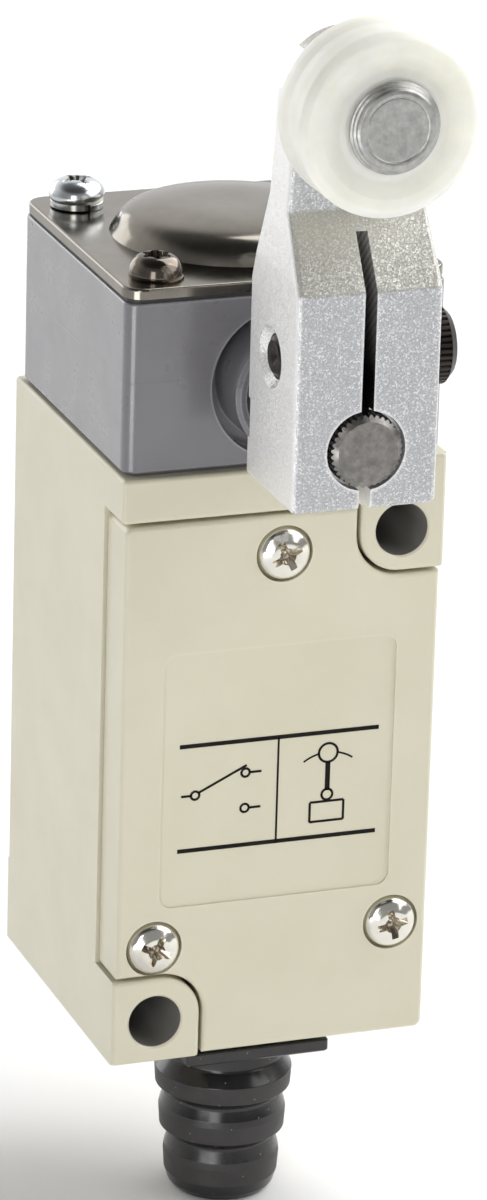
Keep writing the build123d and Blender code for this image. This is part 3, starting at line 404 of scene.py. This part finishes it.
for node, thing in NODES.items():
    thing.data.materials.clear()
    thing.data.materials.append(FINISHES[own_finish.get(node, SLOTS[node])])


# ---------------------------------------------------------------- mesh building
SHARP_DEG = 35.0


def as_object(shape, name):
    """Turn a bmesh into an object in the scene, and free it."""
    mesh = bpy.data.meshes.new(name)
    shape.to_mesh(mesh)
    shape.free()
    thing = bpy.data.objects.new(name, mesh)
    bpy.context.scene.collection.objects.link(thing)
    return thing


def new_piece(name, shape, body, node=None, slot=None, finish=None):
    """Make a named piece from a bmesh: smooth between its real edges, and riding on a body."""
    thing = as_object(shape, name)
    slot = slot or SLOTS[node]
    thing.data.materials.append(finish or FINISHES[slot])
    for polygon in thing.data.polygons:
        polygon.use_smooth = True
    thing.data.set_sharp_from_angle(angle=radians(SHARP_DEG))
    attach(thing, body)
    if node:
        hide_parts(node)
    return thing


def rounded(outline, steps=5):
    """Round the corners of an outline of (radius, height, corner radius) points."""
    smooth = []
    for i, (x, y, r) in enumerate(outline):
        here = Vector((x, y))
        if r <= 0 or i in (0, len(outline) - 1):
            smooth.append(here)
            continue
        before = Vector(outline[i - 1][:2]) - here
        after = Vector(outline[i + 1][:2]) - here
        half = before.angle(after) / 2
        reach = min(r / max(abs(sin(half) / cos(half)), 1e-6), 0.49 * before.length, 0.49 * after.length)
        start, end = here + before.normalized() * reach, here + after.normalized() * reach
        for step in range(steps + 1):
            t = step / steps
            smooth.append((1 - t) ** 2 * start + 2 * t * (1 - t) * here + t**2 * end)
    return smooth


def lathe(outline, place, axis, turns=96, steps=5):
    """Turn an outline in millimetres about an axis through place.

    The outline's ends lie on the axis, or it is a closed loop.
    """
    points = rounded(outline, steps)
    closed = points[0].x > 1e-6
    axis = Vector(axis).normalized()
    side = axis.orthogonal().normalized()
    up = axis.cross(side)
    shape = bmesh.new()
    rings = []
    for point in points:
        if point.x < 1e-6:
            rings.append([shape.verts.new(place + axis * point.y * MM)])
            continue
        rings.append([
            shape.verts.new(place + axis * point.y * MM
                            + (side * cos(2 * pi * k / turns) + up * sin(2 * pi * k / turns)) * point.x * MM)
            for k in range(turns)
        ])
    pairs = list(zip(rings, rings[1:])) + ([(rings[-1], rings[0])] if closed else [])
    for a, b in pairs:
        for k in range(turns):
            after = (k + 1) % turns
            corners = [a[k % len(a)], a[after % len(a)], b[after % len(b)], b[k % len(b)]]
            corners = [v for i, v in enumerate(corners) if v not in corners[:i]]
            if len(corners) > 2:
                shape.faces.new(corners)
    bmesh.ops.recalc_face_normals(shape, faces=shape.faces)
    return shape


CUT_EDGE_MM = 0.05


def carved(shape, cutter):
    """Cut one bmesh with another, soften the cut's edges, and give the result as a bmesh."""
    body, tool = as_object(shape, "carved_body"), as_object(cutter, "carving_tool")
    cut = body.modifiers.new("cut", "BOOLEAN")
    cut.operation, cut.object, cut.solver, cut.use_self = "DIFFERENCE", tool, "EXACT", True
    soften = body.modifiers.new("soften", "BEVEL")
    soften.width, soften.segments, soften.limit_method = CUT_EDGE_MM * MM, 2, "ANGLE"
    soften.angle_limit, soften.use_clamp_overlap = radians(38), True
    graph = bpy.context.evaluated_depsgraph_get()
    mesh = bpy.data.meshes.new_from_object(body.evaluated_get(graph))
    result = bmesh.new()
    result.from_mesh(mesh)
    for spare in (body, tool):
        bpy.data.objects.remove(spare)
    bpy.data.meshes.remove(mesh)
    return result


def prism(corners_top, corners_low, place, axes):
    """A tapered bar between two outlines in millimetres: axes are its three directions, the last one up."""
    shape = bmesh.new()
    rings = []
    for corners, height in (corners_top, corners_low):
        rings.append([shape.verts.new(place + (axes[0] * x + axes[1] * y + axes[2] * height) * MM)
                      for x, y in corners])
    shape.faces.new(rings[0])
    shape.faces.new(rings[1][::-1])
    count = len(rings[0])
    for k in range(count):
        shape.faces.new([rings[0][k], rings[1][k], rings[1][(k + 1) % count], rings[0][(k + 1) % count]])
    bmesh.ops.recalc_face_normals(shape, faces=shape.faces)
    return shape


def merged(*shapes):
    """Several bmeshes as one."""
    whole = bmesh.new()
    for shape in shapes:
        mesh = bpy.data.meshes.new("merging")
        shape.to_mesh(mesh)
        shape.free()
        whole.from_mesh(mesh)
        bpy.data.meshes.remove(mesh)
    return whole


def upright_axes(axis, turn_deg):
    """Two directions across an axis, turned about it, and the axis."""
    axis = Vector(axis).normalized()
    side = Vector((1, 0, 0)) if abs(axis.x) < 0.9 else Vector((0, 1, 0))
    side = (side - axis * side.dot(axis)).normalized()
    side = Matrix.Rotation(radians(turn_deg), 3, axis) @ side
    return side, axis.cross(side), axis


# ---------------------------------------------------------------- screws
def phillips_cutter(place, axis, turn_deg, radius, top, depth):
    """A Phillips recess: four tapered wings round a deeper cone."""

    def wing(reach, half_width):
        """One end of a pair of wings, from shares of the radius."""
        corners = (-1, -1), (1, -1), (1, 1), (-1, 1)
        return [(x * reach * radius, y * half_width * radius) for x, y in corners]

    wings = [
        prism((wing(1.04, 0.215), top), (wing(0.36, 0.15), top - depth), place,
              upright_axes(axis, turn_deg + quarter))
        for quarter in (0, 90)
    ]
    cone = lathe([(0, top - 1.3 * depth, 0), (0.22 * radius, top - 1.05 * depth, 0), (0.52 * radius, top, 0),
                  (0, top, 0)], place, axis, 32)
    return merged(*wings, cone)


def screw_head(place, axis, radius, height, kind, turn_deg, shank):
    """A screw with a dome, pan or button head. The place is under the head; the axis points out of it."""
    shank_length = 3.0
    if kind == "dome":
        side = [(radius, 0, 0.05), (radius, 0.22 * height, 0.2), (0.86 * radius, 0.66 * height, 0.9),
                (0.5 * radius, 0.95 * height, 1.2)]
    else:
        flat, rim = (0.3, 0.22) if kind == "pan" else (0.42, 0.12)
        side = [(radius - 0.12, 0, 0.1)]
        arc_steps = 12
        for k in range(arc_steps + 1):
            turn = radians(90.0 * k / arc_steps)
            side.append((radius * (flat + (1 - flat) * cos(turn)), height * (rim + (1 - rim) * sin(turn)), 0))
    outline = [(0, -shank_length, 0), (shank, -shank_length, 0.2), (shank, 0, 0.05), *side, (0, height, 0)]
    shape = lathe(outline, place, axis, 96, 6)
    if kind == "button":
        points, tip, valley, socket_depth = 24, 0.54, 0.76, 1.6
        star = []
        for k in range(points):
            reach = tip * radius * (1.0 if k % 4 in (0, 1) else valley)
            star.append((reach * cos(2 * pi * k / points), reach * sin(2 * pi * k / points)))
        axes = upright_axes(axis, turn_deg)
        cutter = prism((star, height + 0.3), (star, height - socket_depth), place, axes)
    else:
        cutter = phillips_cutter(place, axis, turn_deg, 0.62 * radius, height + 0.05, 0.75 * height)
    return carved(shape, cutter)


def boxes_in(node, key):
    """The corners of the box round each of a node's separate solids, sorted by a key of its middle."""
    shape = bmesh.new()
    shape.from_mesh(NODES[node].data)
    bmesh.ops.remove_doubles(shape, verts=shape.verts, dist=1e-7)
    shape.verts.ensure_lookup_table()
    seen, boxes = set(), []
    for start in shape.verts:
        if start in seen:
            continue
        stack, island = [start], []
        seen.add(start)
        while stack:
            vertex = stack.pop()
            island.append(vertex.co.copy())
            for edge in vertex.link_edges:
                other = edge.other_vert(vertex)
                if other not in seen:
                    seen.add(other)
                    stack.append(other)
        boxes.append((Vector(map(min, *island)), Vector(map(max, *island))))
    shape.free()
    return sorted(boxes, key=lambda box: key((box[0] + box[1]) / 2))


OUT, UP = Vector((0, -1, 0)), Vector((0, 0, 1))


def fit_screws(name, node, order, turns, axis, height, kind, shank, recess):
    """Model a node's screws, each with its own turn and a darker finish down in its recess as painted shade.

    The top of a head is at its box's face along the axis. Lengths are in millimetres.
    """
    recess_reach, recess_depth = 0.66, 0.8  # shares of the head's radius and height
    for i, (low, high) in enumerate(boxes_in(node, order)):
        radius = (high.x - low.x) / 2 / MM
        if axis is OUT:
            seat = Vector(((low.x + high.x) / 2, low.y + height * MM, (low.z + high.z) / 2))
        else:
            seat = Vector(((low.x + high.x) / 2, (low.y + high.y) / 2, high.z - height * MM))
        head = screw_head(seat, axis, radius, height, kind, turns[i], shank)
        screw = new_piece(f"{name}_{i + 1}", head, "case", node)
        # painted shade: the faces down in the recess take the darker second finish
        screw.data.materials.append(FINISHES[recess])
        for polygon in screw.data.polygons:
            offset = polygon.center - seat
            rise = offset.dot(axis)
            inside = (offset - axis * rise).length < recess_reach * radius * MM
            if inside and 0.0 < rise < recess_depth * height * MM:
                polygon.material_index = 1


fit_screws("cover_screw", "cover_screws", lambda c: (-c.z, c.x), (28.0, 68.0, 12.0),
           axis=OUT, height=1.7, kind="dome", shank=1.25, recess="recess_shade_nickel")
fit_screws("head_socket_screw", "head_socket_screws", lambda c: c.y, (10.0, 27.0),
           axis=UP, height=2.1, kind="button", shank=1.35, recess="recess_shade_dark")
fit_screws("head_pan_screw", "head_pan_screws", lambda c: -c.y, (20.0, 50.0),
           axis=UP, height=2.0, kind="pan", shank=1.35, recess="recess_shade_dark")


def split_washer(place, inner, outer, thickness, start_deg):
    """A spring lock washer: a split ring whose ends stand a little apart."""
    shape = bmesh.new()
    steps, gap_deg, corner = 72, 5.0, 0.08
    offset_of_ends, squeezed = 0.12, 0.86
    section = [(inner + corner, 0), (outer - corner, 0), (outer, corner), (outer, thickness - corner),
               (outer - corner, thickness), (inner + corner, thickness), (inner, thickness - corner),
               (inner, corner)]
    sides = len(section)
    rings = []
    for k in range(steps + 1):
        angle = radians(start_deg + gap_deg / 2 + (360 - gap_deg) * k / steps)
        rise = offset_of_ends * k / steps
        rings.append([
            shape.verts.new(place + Vector((r * cos(angle), r * sin(angle), h * squeezed + rise)) * MM)
            for r, h in section
        ])
    for a, b in zip(rings, rings[1:]):
        for k in range(sides):
            shape.faces.new([a[k], a[(k + 1) % sides], b[(k + 1) % sides], b[k]])
    shape.faces.new(rings[0])
    shape.faces.new(rings[-1][::-1])
    bmesh.ops.recalc_face_normals(shape, faces=shape.faces)
    return shape


for i, (low, high) in enumerate(boxes_in("spring_washers", lambda c: -c.y)):
    place = Vector(((low.x + high.x) / 2, (low.y + high.y) / 2, low.z))
    washer = split_washer(place, 1.5, (high.x - low.x) / 2 / MM, (high.z - low.z) / MM, -80.0)
    new_piece(f"spring_washer_{i + 1}", washer, "case", "spring_washers")


# ---------------------------------------------------------------- roller and its pin
def turned_box(node):
    """The middle of a node's back, its radius and its length along Y in millimetres."""
    low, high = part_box(node)
    back = Vector(((low.x + high.x) / 2, high.y, (low.z + high.z) / 2))
    return back, (high.x - low.x) / 2 / MM, (high.y - low.y) / MM


roller_back, roller_radius, roller_width = turned_box("roller")
bore = 2.05
roller_outline = [
    (bore, 0, 0.2), (5.2, 0, 0.2), (5.5, 0.25, 0.2), (7.5, 0.25, 0.4), (roller_radius, 1.0, 0.5),
    (roller_radius, 2.2, 1.0), (roller_radius - 0.13, 3.4, 2.0), (roller_radius, 4.8, 1.0),
    (roller_radius, roller_width - 0.75, 0.5), (roller_radius - 0.75, roller_width, 0.6),
    (6.6, roller_width, 0.6), (5.1, roller_width - 0.45, 0.8), (4.5, roller_width - 0.15, 0.3),
    (bore, roller_width - 0.12, 0.1),
]
new_piece("nylon_roller", lathe(roller_outline, roller_back, OUT, 128, 6), "roller", "roller")

pin_back, head_radius, pin_length = turned_box("roller_pin")
shank_radius, head_height, back_height = 2.0, 1.0, 1.0
head_low = pin_length - head_height
face_radius = head_radius - 0.72
pin_outline = [
    (0, 0, 0), (2.7, 0, 0.3), (3.2, back_height, 0.1), (shank_radius, back_height, 0.05),
    (shank_radius, head_low, 0.05), (head_radius - 0.1, head_low, 0.1),
    (head_radius, head_low + 0.12, 0.08), (head_radius - 0.03, head_low + 0.28, 0.08),
    (head_radius - 0.2, head_low + 0.36, 0.06), (head_radius - 0.26, head_low + 0.5, 0.06),
    (head_radius - 0.46, head_low + 0.62, 0.06), (head_radius - 0.5, head_low + 0.78, 0.06),
    (face_radius, pin_length - 0.04, 0.1), (face_radius - 0.3, pin_length, 0.1),
    (3.0, pin_length - 0.03, 0.06), (2.9, pin_length - 0.1, 0.06), (2.78, pin_length - 0.06, 0.08),
    (1.2, pin_length - 0.12, 1.0), (0, pin_length - 0.14, 0),
]
new_piece("riveted_roller_pin", lathe(pin_outline, pin_back, OUT, 96, 4), "lever", "roller_pin",
          finish=FINISHES["pin_steel"])

# ---------------------------------------------------------------- cable grommet
low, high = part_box("cable_grommet")
case_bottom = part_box("case")[0].z
cable_entry = MOUNTS["cable_entry"]
entry = Vector((middle("cable_grommet").x, cable_entry["pos_m"][1], case_bottom))
cable_bore = cable_entry["dims"]["r_mm"]
length = (case_bottom - low.z) / MM
ring_radii, ring_depths, ring_band = (6.75, 6.25, 5.7), (5.7, 10.2, 14.9), 1.9
grommet_outline = [(cable_bore, -length, 0.3), (4.7, -length, 0.5), (5.25, -length + 0.7, 0.5)]
for i in (2, 1, 0):
    radius, depth = ring_radii[i], ring_depths[i]
    if i < 2:
        neck = radius - 1.05
        grommet_outline += [
            (neck + 0.42, -ring_depths[i + 1] + 0.55, 0.9), (neck, -depth - ring_band - 0.8, 0.5),
            (radius - 0.45, -depth - ring_band - 0.18, 0.15),
        ]
    grommet_outline += [(radius - 0.12, -depth - ring_band, 0.14), (radius, -depth - 0.1, 0.22)]
grommet_outline += [(5.75, -4.4, 0.9), (5.5, -1.0, 0.3), (5.2, 2.0, 0.2), (cable_bore, 2.0, 0.3)]
rings = lathe(grommet_outline, entry, UP, 96, 6)


def rounded_slab(low, high, corner_mm, edge_mm):
    """A flat slab with rounded corners and softened edges."""
    shape = bmesh.new()
    centre = (low + high) / 2
    half = (high - low) / 2
    steps = 6
    outline = []
    for sx, sy, start in ((1, 1, 0), (-1, 1, 90), (-1, -1, 180), (1, -1, 270)):
        for k in range(steps + 1):
            angle = radians(start + 90 * k / steps)
            outline.append((sx, sy, cos(angle), sin(angle)))
    levels = []
    for height, inset in ((-half.z, edge_mm * MM), (-half.z + edge_mm * MM, 0), (half.z - edge_mm * MM, 0),
                          (half.z, edge_mm * MM)):
        radius = corner_mm * MM
        levels.append([
            shape.verts.new(centre + Vector((sx * (half.x - radius) + c * (radius - inset),
                                             sy * (half.y - radius) + s * (radius - inset), height)))
            for sx, sy, c, s in outline
        ])
    count = len(outline)
    for a, b in zip(levels, levels[1:]):
        for k in range(count):
            shape.faces.new([a[k], a[(k + 1) % count], b[(k + 1) % count], b[k]])
    shape.faces.new(levels[0][::-1])
    shape.faces.new(levels[-1])
    bmesh.ops.recalc_face_normals(shape, faces=shape.faces)
    return shape


flange_thickness, flange_gap = 1.3, 0.02
flange = rounded_slab(Vector((low.x, low.y, case_bottom - flange_thickness * MM)),
                      Vector((high.x, high.y, case_bottom - flange_gap * MM)), 0.5, 0.15)
new_piece("ribbed_grommet", merged(rings, flange), "case", "cable_grommet")

# ---------------------------------------------------------------- printed rules and signs on the label
LABEL_DEPTH, LABEL_BELOW, INK_MM = 0.2, 0.9, 0.025
label_centre = Vector((0.0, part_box("cover")[0].y + LABEL_DEPTH * MM, -LABEL_BELOW * MM))


def stroke(shape, x0, z0, x1, z1, width):
    """A printed line on the label, in millimetres from its middle."""
    start, end = Vector((x0, z0)), Vector((x1, z1))
    along = (end - start).normalized()
    across = Vector((-along.y, along.x)) * width / 2
    corners = [start - across, end - across, end + across, start + across]
    top, under = (
        [shape.verts.new(label_centre + Vector((c.x, y, c.y)) * MM) for c in corners] for y in (-INK_MM, 0.0)
    )
    shape.faces.new(top)
    shape.faces.new(under[::-1])
    for k in range(4):
        shape.faces.new([top[k], under[k], under[(k + 1) % 4], top[(k + 1) % 4]])


def circle(shape, x, z, radius, width, steps, start=0.0, sweep=360.0):
    """A printed circle or arc on the label."""
    for k in range(steps):
        a, b = (radians(start + sweep * j / steps) for j in (k, k + 1))
        stroke(shape, x + radius * cos(a), z + radius * sin(a),
               x + radius * cos(b), z + radius * sin(b), width)


ink = bmesh.new()
thick, thin, fine = 0.42, 0.24, 0.2

# two rules with a fine line between them
rule_left, rule_right, rule_top, rule_low = -9.85, 10.15, 3.45, -7.15
for rule_z in (rule_top, rule_low):
    stroke(ink, rule_left, rule_z, rule_right, rule_z, thick)
stroke(ink, 0.05, rule_top, 0.05, rule_low, fine)

# the sign of a changeover contact
for terminal_x, terminal_z in ((-8.2, -1.6), (-3.2, 0.2), (-3.2, -3.4)):
    circle(ink, terminal_x, terminal_z, 0.42, thin, 20)
for line in ((-9.6, -1.6, -8.6, -1.6), (-7.85, -1.35, -3.1, 0.95), (-2.8, 0.2, -1.6, 0.2),
             (-2.8, -3.4, -1.6, -3.4)):
    stroke(ink, *line, thin)

# the sign of a roller lever on its switch
lever_x, pivot_z, swing_radius = 5.1, -2.9, 4.3
circle(ink, lever_x, 1.35, 0.95, thin, 28)
stroke(ink, lever_x, 0.4, lever_x, -2.5, 0.5)
circle(ink, lever_x, pivot_z, 0.55, thin, 20)
for start in (55.0, 103.0):
    circle(ink, lever_x, pivot_z, swing_radius, 0.18, 16, start, 22.0)
box_left, box_right, box_top, box_low = 3.4, 6.8, -3.6, -5.6
for line in ((box_left, box_top, box_right, box_top), (box_left, box_top, box_left, box_low),
             (box_right, box_top, box_right, box_low), (box_left, box_low, box_right, box_low)):
    stroke(ink, *line, thin)
bmesh.ops.recalc_face_normals(ink, faces=ink.faces)
new_piece("label_print", ink, "case", slot="switch_moulding", finish=label_ink)

# ---------------------------------------------------------------- floor, light and camera
lowest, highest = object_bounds()
target = (lowest + highest) / 2
floor_mesh = bpy.data.meshes.new("floor")
half_floor, floor_gap = 3.0, 0.02
floor_z = lowest.z - floor_gap * MM
floor_corners = [(x * half_floor, y * half_floor, floor_z) for x, y in ((-1, -1), (1, -1), (1, 1), (-1, 1))]
floor_mesh.from_pydata(floor_corners, [], [(0, 1, 2, 3)])
floor = bpy.data.objects.new("floor", floor_mesh)
bpy.context.scene.collection.objects.link(floor)
floor_finish = Finish("pale_floor", Roughness=0.9, Specular_IOR_Level=0.1)
floor_finish.shader.inputs["Base Color"].default_value = (0.92, 0.92, 0.92, 1.0)
floor_mesh.materials.append(floor_finish.material)


def softbox(name, azimuth, elevation, distance, width, height, power):
    """An area light that faces the object: azimuth 0 is in front of it, and 90 is on its right."""
    a, e = radians(azimuth), radians(elevation)
    away = Vector((sin(a) * cos(e), -cos(a) * cos(e), sin(e)))
    data = bpy.data.lights.new(name, "AREA")
    data.shape, data.size, data.size_y, data.energy = "RECTANGLE", width, height, power
    light = bpy.data.objects.new(name, data)
    light.location = target + away * distance
    light.rotation_mode = "QUATERNION"
    light.rotation_quaternion = away.to_track_quat("Z", "Y")
    light.visible_camera = False
    bpy.context.scene.collection.objects.link(light)


softbox("key_front_right", 62, 36, 1.0, 0.7, 0.7, 3.2)
softbox("strip_front_left", -32, 6, 1.0, 0.3, 0.9, 2.9)
softbox("side_right", 112, 45, 1.3, 1.2, 1.2, 17.0)
softbox("low_back_left", -158, 10, 0.85, 0.6, 0.4, 1.3)
softbox("corner_panel", -48, -13, 0.25, 0.12, 0.06, 0.12)

# the studio walls: bright behind the object, dimmer in front of it, under a dark ceiling
world = bpy.data.worlds.new("studio")
world.use_nodes = True
walls = world.node_tree
towards = walls.nodes.new("ShaderNodeTexCoord")
split = walls.nodes.new("ShaderNodeSeparateXYZ")
walls.links.new(towards.outputs["Generated"], split.inputs[0])


def wall_ramp(axis, numbers):
    """A smooth change of brightness along one axis of the room."""
    ramp = walls.nodes.new("ShaderNodeMapRange")
    ramp.interpolation_type = "SMOOTHSTEP"
    for socket, number in zip(("From Min", "From Max", "To Min", "To Max"), numbers):
        ramp.inputs[socket].default_value = number
    walls.links.new(split.outputs[axis], ramp.inputs["Value"])
    return ramp.outputs["Result"]


dimmed = walls.nodes.new("ShaderNodeMath")
dimmed.operation = "MULTIPLY"
walls.links.new(wall_ramp("Y", (-0.2, 0.85, 0.3, 1.0)), dimmed.inputs[0])
walls.links.new(wall_ramp("Z", (0.55, 0.85, 1.0, 0.2)), dimmed.inputs[1])
walls.links.new(dimmed.outputs[0], walls.nodes["Background"].inputs["Strength"])
walls.nodes["Background"].inputs["Color"].default_value = (1.0, 1.0, 1.0, 1.0)
bpy.context.scene.world = world
bpy.context.scene.view_settings.view_transform = "Standard"

camera_azimuth, camera_elevation, camera_roll = radians(-20.24), radians(20.03), radians(1.67)
camera_distance, camera_lens = 0.572, 180.0
aim = Vector((-0.0001, -0.02247, 0.0127))
back = Vector((sin(camera_azimuth) * cos(camera_elevation), -cos(camera_azimuth) * cos(camera_elevation),
               sin(camera_elevation)))
right = Vector((cos(camera_azimuth), sin(camera_azimuth), 0.0))
up = back.cross(right)
rolled_right = right * cos(camera_roll) + up * sin(camera_roll)
rolled_up = up * cos(camera_roll) - right * sin(camera_roll)
camera_data = bpy.data.cameras.new("camera")
camera_data.lens, camera_data.sensor_width = camera_lens, 36.0
camera_data.clip_start, camera_data.clip_end = 0.01, 20.0
camera = bpy.data.objects.new("camera", camera_data)
camera.matrix_world = Matrix.Translation(aim + back * camera_distance) @ Matrix(
    (rolled_right, rolled_up, back)).transposed().to_4x4()
bpy.context.scene.collection.objects.link(camera)
bpy.context.scene.camera = camera
